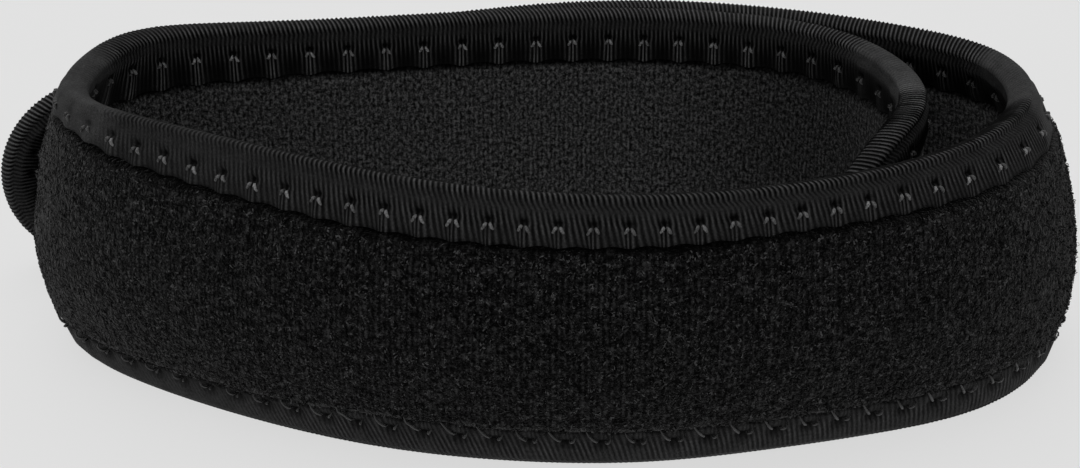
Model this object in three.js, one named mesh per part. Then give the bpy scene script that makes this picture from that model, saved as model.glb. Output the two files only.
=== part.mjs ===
// A patella strap: one padded band with a bound edge, wound into a loop that stands on its edge.
// The band starts at a rounded inner end, runs round the back, the left side, the front and the
// right side, then round the back once more on the outside, and ends in a rounded pull tab.
// Millimetres, +Z up, the front towards -Y. The origin is the middle of the base.

import * as THREE from "three";

// Driving dimensions of the loop, as seen from above.
const LOOP_WIDTH = 150;
const LOOP_DEPTH = 77;

// Driving dimensions of the band.
const STRAP_WIDTH = 44;
const PAD_THICKNESS = 5.6; // band and lining together, at the padded front
const LINING_THICKNESS = 1;
const EDGE_THICKNESS = 1; // the padding where the binding squeezes it
const BULGE = 5; // how far the middle of the band stands out past its two edges
const INNER_END_LENGTH = 20; // length of the rounded end inside the loop
const TAB_END_LENGTH = 16; // length of the rounded end of the pull tab

// Driving dimensions of the edge binding and of the hook patch.
const TAPE_THICKNESS = 1;
const TAPE_COVER = 7.3; // how far the tape reaches over each face
const SHOULDER = 3; // width of the slope from the squeezed edge up to the padding
const HOOK_THICKNESS = 1.2;
const HOOK_LENGTH = 62;
const HOOK_END_MARGIN = 17; // from the tip of the pull tab to the patch
const HOOK_EDGE_MARGIN = 1.5; // from the binding to the patch
const GAP = 0.3; // between layers that lie on each other
const REST_FLAT = 0.6; // how much of the lower edge is pressed flat where it stands

// Fineness of the facets.
const MAX_STEP = 8;
const MAX_TURN = THREE.MathUtils.degToRad(11);
const ROUTE_SAMPLES = 60; // along each span of the route
const END_STEPS = 20; // along the binding round each end

// Sizes that follow.
const HALF_WIDTH = STRAP_WIDTH / 2;
const EDGE_HALF = (LINING_THICKNESS + GAP + EDGE_THICKNESS) / 2;
const BINDING_HALF = EDGE_HALF + GAP + TAPE_THICKNESS;
const LAYER_INSET = TAPE_THICKNESS + 2 * GAP; // from the outline to the edge of the padding
const THIN_PAD = 0.75; // padding of the two lapped ends, as a share of PAD_THICKNESS
const LAP_HALF = Math.max((PAD_THICKNESS * THIN_PAD) / 2, EDGE_HALF);
const PLY_PITCH = Math.max(
  2 * LAP_HALF + HOOK_THICKNESS + 2 * GAP,
  2 * BINDING_HALF + GAP,
);

// Places on the loop seen from above. across is a share of half the loop's width, to the right, and
// back is a share of its depth, from the front.
const PLAN = {
  frontMiddle: { across: -0.1, back: 0.025 },
  frontNearRight: { across: 0.19, back: 0.005 },
  frontRight: { across: 0.44, back: 0.058 },
  frontFarRight: { across: 0.67, back: 0.13 },
  frontCornerRight: { across: 0.885, back: 0.24 },
  rightLow: { across: 1.03, back: 0.43 },
  rightHigh: { across: 1.04, back: 0.61 },
  rightCorner: { across: 0.955, back: 0.785 },
  curlTip: { across: 0.54, back: 0.25 },
  curlEnd: { across: 0.64, back: 0.31 },
  curlLow: { across: 0.73, back: 0.4 },
  curlMiddle: { across: 0.785, back: 0.54 },
  curlHigh: { across: 0.765, back: 0.69 },
  backFarRight: { across: 0.665, back: 0.86 },
  backRight: { across: 0.51, back: 0.945 },
  backNearRight: { across: 0.27, back: 1.0 },
  backMiddle: { across: 0.0, back: 0.99 },
  backNearLeft: { across: -0.27, back: 0.955 },
  backLeft: { across: -0.53, back: 0.91 },
  backFarLeft: { across: -0.77, back: 0.895 },
  leftHigh: { across: -0.955, back: 0.832 },
  leftMiddle: { across: -1.025, back: 0.6 },
  leftLow: { across: -0.98, back: 0.44 },
  frontCornerLeft: { across: -0.84, back: 0.325 },
  frontFarLeft: { across: -0.62, back: 0.205 },
  frontLeft: { across: -0.36, back: 0.09 },
  tabRoot: { across: -0.8, back: 0.904 },
  tabMiddle: { across: -1.0, back: 0.82 },
  tabTip: { across: -1.205, back: 0.72 },
};

// The route of the band. ply counts how many plies it lies outside the plan's places. pad and bulge
// are shares of PAD_THICKNESS and BULGE. The rest are shares of STRAP_WIDTH: the width, how far the
// upper edge leans in towards the middle of the loop, and the rise of the band's middle line.
const ROUTE = [
  { at: "curlTip", ply: 0, pad: THIN_PAD, width: 0.9, lean: 0, rise: 0, bulge: 0.1 },
  { at: "curlEnd", ply: 0, pad: THIN_PAD, width: 0.9, lean: 0, rise: 0, bulge: 0.1 },
  { at: "curlLow", ply: 0, pad: THIN_PAD, width: 0.93, lean: 0, rise: 0, bulge: 0.1 },
  { at: "curlMiddle", ply: 0, pad: THIN_PAD, width: 0.96, lean: 0, rise: 0, bulge: 0.1 },
  { at: "curlHigh", ply: 0, pad: THIN_PAD, width: 0.98, lean: 0, rise: 0, bulge: 0.1 },
  { at: "backFarRight", ply: 0, pad: THIN_PAD, width: 1, lean: 0, rise: 0, bulge: 0.1 },
  { at: "backRight", ply: 0, pad: THIN_PAD, width: 1, lean: 0, rise: 0, bulge: 0.1 },
  { at: "backNearRight", ply: 0, pad: THIN_PAD, width: 1, lean: 0, rise: 0, bulge: 0.1 },
  { at: "backMiddle", ply: 0, pad: THIN_PAD, width: 1, lean: 0, rise: 0, bulge: 0.1 },
  { at: "backNearLeft", ply: 0, pad: THIN_PAD, width: 1, lean: 0, rise: 0, bulge: 0.1 },
  { at: "backLeft", ply: 0, pad: THIN_PAD, width: 1, lean: 0, rise: 0, bulge: 0.1 },
  { at: "backFarLeft", ply: 0, pad: THIN_PAD, width: 1, lean: 0, rise: 0, bulge: 0.15 },
  { at: "leftHigh", ply: 0, pad: 0.8, width: 1.02, lean: 0.05, rise: 0.01, bulge: 0.5 },
  { at: "leftMiddle", ply: 0, pad: 0.95, width: 1, lean: 0.07, rise: 0, bulge: 1.15 },
  { at: "leftLow", ply: 0, pad: 1, width: 1.02, lean: 0.03, rise: 0.01, bulge: 1 },
  { at: "frontCornerLeft", ply: 0, pad: 1, width: 1.035, lean: 0.03, rise: 0.0175, bulge: 1 },
  { at: "frontFarLeft", ply: 0, pad: 1, width: 1.03, lean: 0.05, rise: 0.015, bulge: 1 },
  { at: "frontLeft", ply: 0, pad: 1, width: 1.012, lean: 0.04, rise: 0.006, bulge: 1 },
  { at: "frontMiddle", ply: 0, pad: 1, width: 1, lean: 0, rise: 0, bulge: 1 },
  { at: "frontNearRight", ply: 0, pad: 1, width: 1, lean: -0.03, rise: 0, bulge: 1 },
  { at: "frontRight", ply: 0, pad: 1, width: 1, lean: -0.04, rise: 0, bulge: 1 },
  { at: "frontFarRight", ply: 0, pad: 1, width: 1, lean: 0.01, rise: 0, bulge: 1 },
  { at: "frontCornerRight", ply: 0, pad: 1, width: 1, lean: 0.12, rise: 0, bulge: 1 },
  { at: "rightLow", ply: 0, pad: 1, width: 1, lean: 0.17, rise: 0, bulge: 1 },
  { at: "rightHigh", ply: 0, pad: 0.95, width: 1, lean: 0.12, rise: 0, bulge: 1 },
  { at: "rightCorner", ply: 0, pad: 0.85, width: 1, lean: 0.02, rise: 0, bulge: 0.8 },
  { at: "backFarRight", ply: 1, pad: THIN_PAD, width: 0.99, lean: 0, rise: 0, bulge: 0.5 },
  { at: "backRight", ply: 1, pad: THIN_PAD, width: 0.97, lean: 0, rise: 0, bulge: 0.1 },
  { at: "backNearRight", ply: 1, pad: THIN_PAD, width: 0.97, lean: 0, rise: 0, bulge: 0.1 },
  { at: "backMiddle", ply: 1, pad: THIN_PAD, width: 0.95, lean: 0, rise: 0, bulge: 0.1 },
  { at: "backNearLeft", ply: 1, pad: THIN_PAD, width: 0.88, lean: 0, rise: 0, bulge: 0.1 },
  { at: "backLeft", ply: 1, pad: THIN_PAD, width: 0.8, lean: 0, rise: 0, bulge: 0.1 },
  { at: "tabRoot", ply: 1, pad: THIN_PAD, width: 0.73, lean: 0, rise: -0.045, bulge: 0.2 },
  { at: "tabMiddle", ply: 1, pad: THIN_PAD, width: 0.72, lean: 0, rise: -0.1, bulge: 0.2 },
  { at: "tabTip", ply: 1, pad: THIN_PAD, width: 0.72, lean: 0, rise: -0.1, bulge: 0.2 },
];

// One row of the route with its place in millimetres.
function placed(row) {
  const { across, back } = PLAN[row.at];
  return {
    x: (across * LOOP_WIDTH) / 2,
    y: (back - 0.5) * LOOP_DEPTH,
    ply: row.ply,
    pad: row.pad,
    width: row.width,
    lean: row.lean,
    rise: row.rise,
    bulge: row.bulge,
  };
}

// The row that continues the line from b through a, so that the spline starts at a.
function mirrored(a, b) {
  return Object.fromEntries(Object.keys(a).map((k) => [k, 2 * a[k] - b[k]]));
}

// Every column of four neighbouring rows, blended as a uniform cubic B-spline at t from 0 to 1.
function blended(rows, t) {
  const weights = [
    (1 - t) ** 3 / 6,
    (3 * t ** 3 - 6 * t ** 2 + 4) / 6,
    (-3 * t ** 3 + 3 * t ** 2 + 3 * t + 1) / 6,
    t ** 3 / 6,
  ];
  return Object.fromEntries(
    Object.keys(rows[0]).map((k) => [
      k,
      weights.reduce((sum, w, i) => sum + w * rows[i][k], 0),
    ]),
  );
}

// The unit direction at each of a row of samples, from its two neighbours.
function headings(samples) {
  return samples.map((_, i) => {
    const a = samples[Math.max(i - 1, 0)];
    const b = samples[Math.min(i + 1, samples.length - 1)];
    return new THREE.Vector2(b.x - a.x, b.y - a.y).normalize();
  });
}

// The middle line of the band as closely spaced samples, each with its distance along the band.
function sampledRoute() {
  const rows = ROUTE.map(placed);
  const last = rows.length - 1;
  const all = [mirrored(rows[0], rows[1]), ...rows, mirrored(rows[last], rows[last - 1])];
  const samples = [];
  for (let i = 0; i < last; i++)
    for (let k = 0; k < ROUTE_SAMPLES; k++)
      samples.push(blended(all.slice(i, i + 4), k / ROUTE_SAMPLES));
  samples.push(blended(all.slice(last - 1, last + 3), 1));
  const plain = headings(samples);
  samples.forEach((p, i) => {
    p.x += plain[i].y * p.ply * PLY_PITCH;
    p.y -= plain[i].x * p.ply * PLY_PITCH;
  });
  const turned = headings(samples);
  samples.forEach((p, i) => {
    p.heading = turned[i];
    p.along = i
      ? samples[i - 1].along + Math.hypot(p.x - samples[i - 1].x, p.y - samples[i - 1].y)
      : 0;
  });
  return samples;
}

const route = sampledRoute();
const STRAP_LENGTH = route[route.length - 1].along;

// The route at a distance along the band.
function routeAt(along) {
  let low = 0;
  let high = route.length - 1;
  while (high - low > 1) {
    const middle = (low + high) >> 1;
    if (route[middle].along <= along) low = middle;
    else high = middle;
  }
  const a = route[low];
  const b = route[high];
  const t = (along - a.along) / (b.along - a.along);
  const mix = (k) => THREE.MathUtils.lerp(a[k], b[k], t);
  return {
    x: mix("x"),
    y: mix("y"),
    pad: mix("pad"),
    width: mix("width"),
    lean: mix("lean"),
    rise: mix("rise"),
    bulge: mix("bulge"),
    heading: a.heading.clone().lerp(b.heading, t).normalize(),
  };
}

// A point of the band: along it, up from its middle line, and out from its middle surface, which
// bulges away from the inside of the loop.
function bandPoint(along, up, out) {
  const r = routeAt(along);
  const share = up / HALF_WIDTH;
  const lean = r.lean * STRAP_WIDTH;
  const arch = r.bulge * BULGE;
  const slope = (-2 * arch * share - lean / 2) / HALF_WIDTH;
  const square = 1 / Math.hypot(1, slope);
  const offset = arch * (1 - share ** 2) - (lean * share) / 2 + out * square;
  return new THREE.Vector3(
    r.x + r.heading.y * offset,
    r.y - r.heading.x * offset,
    Math.max(r.rise * STRAP_WIDTH + HALF_WIDTH - REST_FLAT + up - out * slope * square, 0),
  );
}

// The length of the rounded end on a place's half of the band.
function endLength(along) {
  return along < STRAP_LENGTH / 2 ? INNER_END_LENGTH : TAB_END_LENGTH;
}

// How far a place is past the straight part of the band, into one of its rounded ends.
function intoEnd(along) {
  return Math.max(endLength(along) - Math.min(along, STRAP_LENGTH - along), 0);
}

// Half the height of the band at a place along it, inside a margin from its outline.
function halfHeight(along, margin) {
  const share = intoEnd(along) / (endLength(along) - margin);
  const half = HALF_WIDTH * routeAt(along).width - margin;
  return share < 1 ? half * Math.sqrt(1 - share ** 2) : 0;
}

// Half the thickness of padding and lining together, at a margin from the outline.
function halfThickness(along, margin) {
  const slope = (distance) =>
    THREE.MathUtils.smoothstep(distance - GAP, 0, SHOULDER);
  const full = Math.max((routeAt(along).pad * PAD_THICKNESS) / 2, EDGE_HALF);
  const inside = Math.min(along, STRAP_LENGTH - along) - TAPE_COVER - SHOULDER;
  const share = slope(margin - TAPE_COVER) * slope(inside);
  return EDGE_HALF + (full - EDGE_HALF) * share;
}

// Distances along the band from one place to another, closer together where it bends.
function stations(from, to) {
  const found = [from];
  for (let along = from, at = routeAt(from); along < to; ) {
    let next = Math.min(along + MAX_STEP, to);
    while (routeAt(next).heading.angleTo(at.heading) > MAX_TURN) next -= MAX_STEP / 16;
    along = next;
    at = routeAt(next);
    found.push(along);
  }
  return found;
}

const straightStations = stations(INNER_END_LENGTH, STRAP_LENGTH - TAB_END_LENGTH);

// How far along a rounded end the padding has its stations, from the straight part to its tip.
function endPlaces(length) {
  return [15, 29, 42, 54, 65, 76].map(
    (angle) => (length - LAYER_INSET) * Math.sin(THREE.MathUtils.degToRad(angle)),
  );
}

// Distances along the band for the padding and the lining, the rounded ends included.
function layerStations() {
  return [
    ...endPlaces(INNER_END_LENGTH)
      .map((d) => INNER_END_LENGTH - d)
      .reverse(),
    ...straightStations,
    ...endPlaces(TAB_END_LENGTH).map((d) => STRAP_LENGTH - TAB_END_LENGTH + d),
  ];
}

// Collects triangles with outward faces.
class Faces {
  positions = [];

  quad(a, b, c, d) {
    for (const p of [a, b, c, a, c, d]) this.positions.push(p.x, p.y, p.z);
  }

  geometry() {
    const made = new THREE.BufferGeometry();
    made.setAttribute("position", new THREE.Float32BufferAttribute(this.positions, 3));
    made.computeVertexNormals();
    return made;
  }
}

// A closed slab between an outer and an inner grid of points, each grid[station][column].
function slab(outer, inner) {
  const faces = new Faces();
  const rows = outer.length - 1;
  const columns = outer[0].length - 1;
  for (let i = 0; i < rows; i++) {
    for (let j = 0; j < columns; j++) {
      faces.quad(outer[i][j], outer[i + 1][j], outer[i + 1][j + 1], outer[i][j + 1]);
      faces.quad(inner[i][j], inner[i][j + 1], inner[i + 1][j + 1], inner[i + 1][j]);
    }
    faces.quad(inner[i][0], inner[i + 1][0], outer[i + 1][0], outer[i][0]);
    faces.quad(
      outer[i][columns],
      outer[i + 1][columns],
      inner[i + 1][columns],
      inner[i][columns],
    );
  }
  for (let j = 0; j < columns; j++) {
    faces.quad(inner[0][j], outer[0][j], outer[0][j + 1], inner[0][j + 1]);
    faces.quad(outer[rows][j], inner[rows][j], inner[rows][j + 1], outer[rows][j + 1]);
  }
  return faces.geometry();
}

// The columns of a layer across the band: at the outline's inset, beside the tape, on the padding
// and in the middle. Where the rounded ends leave no room for them they are spread evenly.
function layerColumns(along) {
  const reach = halfHeight(along, LAYER_INSET);
  const beside = Math.max(halfHeight(along, TAPE_COVER + GAP), reach / 2);
  const padded = Math.max(halfHeight(along, TAPE_COVER + SHOULDER + GAP), reach / 4);
  const margins = [LAYER_INSET, TAPE_COVER + GAP, TAPE_COVER + SHOULDER + GAP];
  const half = [reach, beside, padded].map((up, i) => ({ up, margin: margins[i] }));
  return [
    ...half.map(({ up, margin }) => ({ up: -up, margin })),
    { up: 0, margin: HALF_WIDTH },
    ...half.reverse(),
  ];
}

// One layer of the band, between two shares of its thickness given by a function of half of it.
function layer(spread) {
  const grids = layerStations().map((along) =>
    layerColumns(along).map(({ up, margin }) => {
      const [low, high] = spread(halfThickness(along, margin));
      return [bandPoint(along, up, high), bandPoint(along, up, low)];
    }),
  );
  return slab(
    grids.map((row) => row.map((pair) => pair[0])),
    grids.map((row) => row.map((pair) => pair[1])),
  );
}

// Places round the whole outline of the band, each with the direction inwards from there. The
// lower edge is followed from the inner end to the tab, and the upper edge back again.
function outlinePlaces() {
  const round = (middle, length, sign) =>
    Array.from({ length: END_STEPS - 1 }, (_, k) => {
      const angle = Math.PI * ((k + 1) / END_STEPS - 0.5);
      const cos = Math.cos(angle);
      const sin = Math.sin(angle);
      const inwards = new THREE.Vector2(
        -sign * cos * HALF_WIDTH,
        -sign * sin * length,
      ).normalize();
      const along = middle + sign * length * cos;
      return { along, up: sign * HALF_WIDTH * routeAt(along).width * sin, inwards };
    });
  const straight = (sign) =>
    straightStations.map((along) => ({
      along,
      up: sign * HALF_WIDTH * routeAt(along).width,
      inwards: new THREE.Vector2(0, -sign),
    }));
  return [
    ...straight(-1),
    ...round(STRAP_LENGTH - TAB_END_LENGTH, TAB_END_LENGTH, 1),
    ...straight(1).reverse(),
    ...round(INNER_END_LENGTH, INNER_END_LENGTH, -1),
  ];
}

// The folded tape's section: how far in from the outline, and out from the middle surface.
function tapeSection() {
  const hollow = BINDING_HALF - TAPE_THICKNESS;
  const corner = BINDING_HALF / 2;
  const side = [
    { inwards: 0, out: corner * 0.8 },
    { inwards: corner, out: BINDING_HALF },
    { inwards: TAPE_COVER, out: BINDING_HALF },
    { inwards: TAPE_COVER, out: hollow },
    { inwards: TAPE_THICKNESS, out: hollow },
  ];
  return [
    ...side,
    ...side.map(({ inwards, out }) => ({ inwards, out: -out })).reverse(),
  ];
}

// The binding: the folded tape swept round the whole outline.
function bindingGeometry() {
  const section = tapeSection();
  const rings = outlinePlaces().map((place) =>
    section.map(({ inwards, out }) =>
      bandPoint(
        place.along + place.inwards.x * inwards,
        place.up + place.inwards.y * inwards,
        out,
      ),
    ),
  );
  const faces = new Faces();
  rings.forEach((ring, i) => {
    const next = rings[(i + 1) % rings.length];
    section.forEach((_, j) => {
      const k = (j + 1) % section.length;
      faces.quad(ring[j], next[j], next[k], ring[k]);
    });
  });
  return faces.geometry();
}

// The hook patch: a plain strip on the lining of the tab, facing the outside of the inner ply.
function hookGeometry() {
  const end = STRAP_LENGTH - HOOK_END_MARGIN;
  const places = stations(end - HOOK_LENGTH, end);
  const grid = (away) =>
    places.map((along) => {
      const reach = halfHeight(along, TAPE_COVER + HOOK_EDGE_MARGIN);
      return [-1, 0, 1].map((share) => bandPoint(along, share * reach, -LAP_HALF - away));
    });
  return slab(grid(GAP), grid(GAP + HOOK_THICKNESS));
}

function mesh(name, geometry, color, roughness) {
  const material = new THREE.MeshStandardMaterial({ color, roughness, metalness: 0 });
  const made = new THREE.Mesh(geometry, material);
  made.name = name;
  return made;
}

const strap = new THREE.Group();
strap.add(
  mesh(
    "padded_band",
    layer((half) => [LINING_THICKNESS + GAP - half, half]),
    0x121212,
    0.95,
  ),
  mesh(
    "knit_lining",
    layer((half) => [-half, LINING_THICKNESS - half]),
    0x1e1e1e,
    0.9,
  ),
  mesh("edge_binding", bindingGeometry(), 0x1b1b1b, 0.7),
  mesh("hook_patch", hookGeometry(), 0x151515, 0.6),
);

// The origin goes to the middle of the base.
const box = new THREE.Box3().setFromObject(strap);
const middle = box.getCenter(new THREE.Vector3());
strap.position.set(-middle.x, -middle.y, -box.min.z);

export default strap;
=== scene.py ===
# A patella strap, finished in detail: a padded band with brushed loop fabric outside and a knit lining
# inside, a ribbed tape folded over its edge and stitched on, and a hook patch between the lapped ends.
# Lengths are millimetres in the tables and functions. mesh_object turns them into metres.

import math
from collections import namedtuple

import bpy
import numpy as np
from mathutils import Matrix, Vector


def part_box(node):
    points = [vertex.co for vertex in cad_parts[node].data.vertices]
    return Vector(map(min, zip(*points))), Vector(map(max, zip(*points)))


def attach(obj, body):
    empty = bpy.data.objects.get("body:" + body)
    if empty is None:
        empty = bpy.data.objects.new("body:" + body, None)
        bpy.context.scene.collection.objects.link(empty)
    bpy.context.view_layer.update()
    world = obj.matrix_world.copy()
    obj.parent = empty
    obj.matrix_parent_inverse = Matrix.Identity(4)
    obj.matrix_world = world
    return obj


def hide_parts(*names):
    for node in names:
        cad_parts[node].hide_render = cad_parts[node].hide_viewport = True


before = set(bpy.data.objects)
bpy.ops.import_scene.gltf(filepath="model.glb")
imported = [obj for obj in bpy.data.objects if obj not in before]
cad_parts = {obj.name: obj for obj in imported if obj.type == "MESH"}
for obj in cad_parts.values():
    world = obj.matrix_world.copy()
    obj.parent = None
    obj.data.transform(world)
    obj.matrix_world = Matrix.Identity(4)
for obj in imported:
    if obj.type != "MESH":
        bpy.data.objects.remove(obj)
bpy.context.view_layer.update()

MM = 0.001
SEED = 11

# The camera of the photograph.
PHOTO_WIDTH_PX = 1080
FOCAL_LENGTH_PX = 2060
SENSOR_WIDTH = 36
CAMERA_PLACE = (-1.0, -299.53, 164.85)  # before the shift to the row frame
CAMERA_PITCH_DEG = 26

# Driving dimensions, as in the part's source.
LOOP_WIDTH = 150
LOOP_DEPTH = 77
STRAP_WIDTH = 44
PAD_THICKNESS = 5.6
LINING_THICKNESS = 1
EDGE_THICKNESS = 1
BULGE = 5
INNER_END_LENGTH = 20
TAB_END_LENGTH = 16
TAPE_THICKNESS = 1
TAPE_COVER = 7.3
HOOK_THICKNESS = 1.2
HOOK_LENGTH = 62
HOOK_END_MARGIN = 17
HOOK_EDGE_MARGIN = 1.5
GAP = 0.3
REST_FLAT = 0.6
ROUTE_SAMPLES = 60

HALF_WIDTH = STRAP_WIDTH / 2
EDGE_HALF = (LINING_THICKNESS + GAP + EDGE_THICKNESS) / 2
BINDING_HALF = EDGE_HALF + GAP + TAPE_THICKNESS
LAYER_INSET = TAPE_THICKNESS + 2 * GAP
THIN_PAD = 0.75
LAP_HALF = max(PAD_THICKNESS * THIN_PAD / 2, EDGE_HALF)
PLY_PITCH = max(2 * LAP_HALF + HOOK_THICKNESS + 2 * GAP, 2 * BINDING_HALF + GAP)

# Finish of the fabric and the tape.
RIB_PITCH = 0.77
RIB_HEIGHT = 0.34
LOWER_COVER = 8.2  # how far the tape reaches over the faces at the lower edge
LOWER_HOLE = 6.1  # how far in from the outline the lower stitches lie
LOWER_PITCH = 5.03
LOWER_ANCHOR = 297.9  # a lower stitch's place along the band
UPPER_ANCHOR = 287.0  # an upper stitch's place along the band
THREAD_RADIUS = 0.22
LOWER_THREAD_RADIUS = 0.17
SHOULDER = 1.2  # width of the slope beside the tape
CLOTH_STEP = 0.8  # between mesh points of the two fabrics
BACK_COLUMNS = 8  # mesh points across the hidden back of a fabric
FABRIC_FLOOR = 0.02  # the lowest that the fabric reaches above the floor
TAPE_FLOOR = 0.01  # the lowest that the tape reaches above the floor
PILE_INSET = 4  # the fibres keep this far from the outline
RIB_TILT = 0.22  # how far the ribs run aside for each millimetre across the tape
CLAW_WIDTH = 1.35  # reach of a stitch's pull on the tape, along it

# Places along the band where its finish changes.
CURL_PAINTED_LIGHT = 28  # painted light on the curled end's ridge is strongest here
CURL_POCKET_SHADE = 46  # up to here the curl's outer face lies in a narrow pocket, with painted shade
CURL_TAPE_SHADE = 75  # up to here the tape inside the curl has painted shade
CURL_LINING_SHADE = 95  # up to here the lining inside the curl has painted shade
LEFT_START = 150  # the back of the loop ends here
LEFT_BEND = 200  # the tightest part of the left bend
LEFT_CORNER = 205  # the tape is drawn flat here
LEFT_PILE = 220  # the fibres stand up fully past here
LEFT_END = 262  # the left bend ends and the front starts
LOWER_FULL = 270  # the lower tape has its full cover past here
RIGHT_LINING_LIGHT = 405  # the lining has painted light here
TAB_PAINTED_LIGHT = 530  # the tab's ridge has painted light past here

# The tape along the upper edge, by the route's row: how far it reaches over the outer and the inner
# face, how far in from the outline its stitches lie, and their pitch.
Tape = namedtuple("Tape", "row outer inner hole pitch")
TAPE = [Tape(*sizes) for sizes in (
    (0, 7.0, 7.0, 4.4, 6.1),
    (3, 7.0, 7.6, 4.4, 6.1),
    (5, 7.0, 8.2, 4.4, 6.1),
    (7, 7.0, 8.4, 4.4, 6.25),
    (9, 7.0, 8.4, 4.4, 6.6),
    (10, 7.0, 8.5, 4.3, 6.4),
    (11, 6.6, 9.6, 4.6, 6.5),
    (12, 5.8, 10.4, 4.6, 6.6),
    (13, 4.6, 8.6, 2.7, 6.1),
    (14, 4.2, 7.3, 2.3, 5.2),
    (15, 6.25, 7.0, 3.65, 5.1),
    (16, 7.05, 7.0, 4.6, 5.3),
    (17, 7.35, 7.0, 4.4, 5.15),
    (18, 7.05, 7.0, 4.1, 4.82),
    (19, 6.6, 7.0, 3.95, 4.66),
    (20, 6.1, 7.0, 3.6, 4.88),
    (21, 6.35, 7.0, 3.6, 5.62),
    (22, 6.9, 7.0, 4.1, 7.1),
    (23, 7.2, 7.4, 4.3, 7.5),
    (25, 7.0, 8.4, 4.4, 6.3),
    (27, 7.0, 8.2, 4.4, 6.2),
    (31, 7.0, 7.0, 4.4, 6.0),
    (34, 7.0, 7.0, 4.2, 5.4),
)]

# Stretches of the upper edge, by the middle and half the length of each.
Stretch = namedtuple("Stretch", "along half")
# Where the tape is rubbed smooth at a tight bend and painted with a sheen.
SHEEN_AND_RUBBED_BENDS = [Stretch(40, 14), Stretch(203, 20), Stretch(389, 16)]
# Where the threads get painted shade and hardly show, on the outer and the inner face.
OUTER_HIDDEN = [Stretch(25, 40), Stretch(LEFT_CORNER, 15), Stretch(398, 13)]
INNER_HIDDEN = [Stretch(38, 34), Stretch(190, 9), Stretch(400, 18), Stretch(562, 30)]

# Places on the loop seen from above: shares of half its width to the right and of its depth back.
PLAN = {
    "frontMiddle": (-0.1, 0.025),
    "frontNearRight": (0.19, 0.005),
    "frontRight": (0.44, 0.058),
    "frontFarRight": (0.67, 0.13),
    "frontCornerRight": (0.885, 0.24),
    "rightLow": (1.03, 0.43),
    "rightHigh": (1.04, 0.61),
    "rightCorner": (0.955, 0.785),
    "curlTip": (0.54, 0.25),
    "curlEnd": (0.64, 0.31),
    "curlLow": (0.73, 0.4),
    "curlMiddle": (0.785, 0.54),
    "curlHigh": (0.765, 0.69),
    "backFarRight": (0.665, 0.86),
    "backRight": (0.51, 0.945),
    "backNearRight": (0.27, 1.0),
    "backMiddle": (0.0, 0.99),
    "backNearLeft": (-0.27, 0.955),
    "backLeft": (-0.53, 0.91),
    "backFarLeft": (-0.77, 0.895),
    "leftHigh": (-0.955, 0.832),
    "leftMiddle": (-1.025, 0.6),
    "leftLow": (-0.98, 0.44),
    "frontCornerLeft": (-0.84, 0.325),
    "frontFarLeft": (-0.62, 0.205),
    "frontLeft": (-0.36, 0.09),
    "tabRoot": (-0.8, 0.904),
    "tabMiddle": (-1.0, 0.82),
    "tabTip": (-1.205, 0.72),
}

# Places along the back where the inner ply keeps one section.
BACK = ("backFarRight", "backRight", "backNearRight", "backMiddle", "backNearLeft", "backLeft")

# The route of the band, from its inner end round the loop to the tip of the pull tab.
Row = namedtuple("Row", "at ply pad width lean rise bulge")
ROUTE = [Row(*values) for values in (
    ("curlTip", 0, THIN_PAD, 0.9, 0, 0, 0.1),
    ("curlEnd", 0, THIN_PAD, 0.9, 0, 0, 0.1),
    ("curlLow", 0, THIN_PAD, 0.93, 0, 0, 0.1),
    ("curlMiddle", 0, THIN_PAD, 0.96, 0, 0, 0.1),
    ("curlHigh", 0, THIN_PAD, 0.98, 0, 0, 0.1),
    *((at, 0, THIN_PAD, 1, 0, 0, 0.1) for at in BACK),
    ("backFarLeft", 0, THIN_PAD, 1, 0, 0, 0.15),
    ("leftHigh", 0, 0.8, 1.02, 0.05, 0.01, 0.5),
    ("leftMiddle", 0, 0.95, 1, 0.07, 0, 1.15),
    ("leftLow", 0, 1, 1.02, 0.03, 0.01, 1),
    ("frontCornerLeft", 0, 1, 1.035, 0.03, 0.0175, 1),
    ("frontFarLeft", 0, 1, 1.03, 0.05, 0.015, 1),
    ("frontLeft", 0, 1, 1.012, 0.04, 0.006, 1),
    ("frontMiddle", 0, 1, 1, 0, 0, 1),
    ("frontNearRight", 0, 1, 1, -0.03, 0, 1),
    ("frontRight", 0, 1, 1, -0.04, 0, 1),
    ("frontFarRight", 0, 1, 1, 0.01, 0, 1),
    ("frontCornerRight", 0, 1, 1, 0.12, 0, 1),
    ("rightLow", 0, 1, 1, 0.17, 0, 1),
    ("rightHigh", 0, 0.95, 1, 0.12, 0, 1),
    ("rightCorner", 0, 0.85, 1, 0.02, 0, 0.8),
    ("backFarRight", 1, THIN_PAD, 0.99, 0, 0, 0.5),
    ("backRight", 1, THIN_PAD, 0.97, 0, 0, 0.1),
    ("backNearRight", 1, THIN_PAD, 0.97, 0, 0, 0.1),
    ("backMiddle", 1, THIN_PAD, 0.95, 0, 0, 0.1),
    ("backNearLeft", 1, THIN_PAD, 0.88, 0, 0, 0.1),
    ("backLeft", 1, THIN_PAD, 0.8, 0, 0, 0.1),
    ("tabRoot", 1, THIN_PAD, 0.73, 0, -0.045, 0.2),
    ("tabMiddle", 1, THIN_PAD, 0.72, 0, -0.1, 0.2),
    ("tabTip", 1, THIN_PAD, 0.72, 0, -0.1, 0.2),
)]


def smooth(value):
    """0 below 0, 1 above 1 and a smooth step between."""
    t = np.clip(value, 0, 1)
    return t * t * (3 - 2 * t)


def bell(distance, width):
    """1 at no distance, falling smoothly to 0 a few widths away."""
    return np.exp(-((distance / width) ** 2))


def unit(vectors):
    """Vectors brought to length 1."""
    return vectors / np.maximum(np.linalg.norm(vectors, axis=-1, keepdims=True), 1e-9)


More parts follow.
